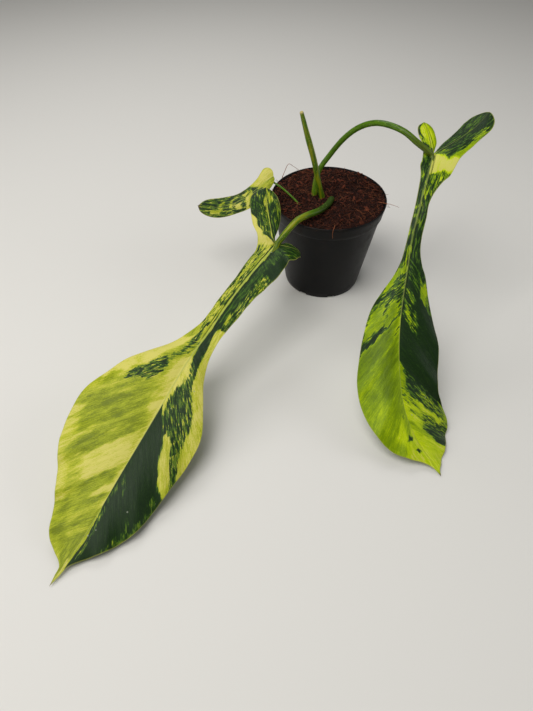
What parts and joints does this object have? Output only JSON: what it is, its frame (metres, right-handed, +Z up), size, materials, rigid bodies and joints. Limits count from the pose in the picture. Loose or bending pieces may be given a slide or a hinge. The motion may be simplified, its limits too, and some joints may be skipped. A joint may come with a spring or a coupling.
{
  "type": "potted variegated philodendron",
  "caption": "Potted aroid with long, waisted, lobed leaves variegated in cream, lime and dark green, on arching stalks in a tapered black nursery pot of bark mix.",
  "frame": {"origin": "middle of the pot's underside, on the surface that it stands on", "axes": "+Z up the pot's axis, -Y the side that the two long leaves reach out to, +X the side of the arching leaf"},
  "size_m": [0.3704, 0.4193, 0.2005],
  "materials": {
    "pot_plastic": "satin black moulded polypropylene, faintly scuffed",
    "potting_mix": "loose reddish brown coir, peat and bark, slightly damp",
    "petiole_skin": "smooth waxy olive green stalk with fine lengthwise lines",
    "leaf_blade": "waxy leaf marbled in cream yellow, lime and dark green"
  },
  "bodies": {
    "root": {"pot": "pot_plastic", "soil": "potting_mix", "petiole_arching": "petiole_skin", "petiole_cut": "petiole_skin", "petiole_front": "petiole_skin", "petiole_small": "petiole_skin", "leaf_front": "leaf_blade", "leaf_arching": "leaf_blade", "leaf_small": "leaf_blade"}
  },
  "joints": []
}
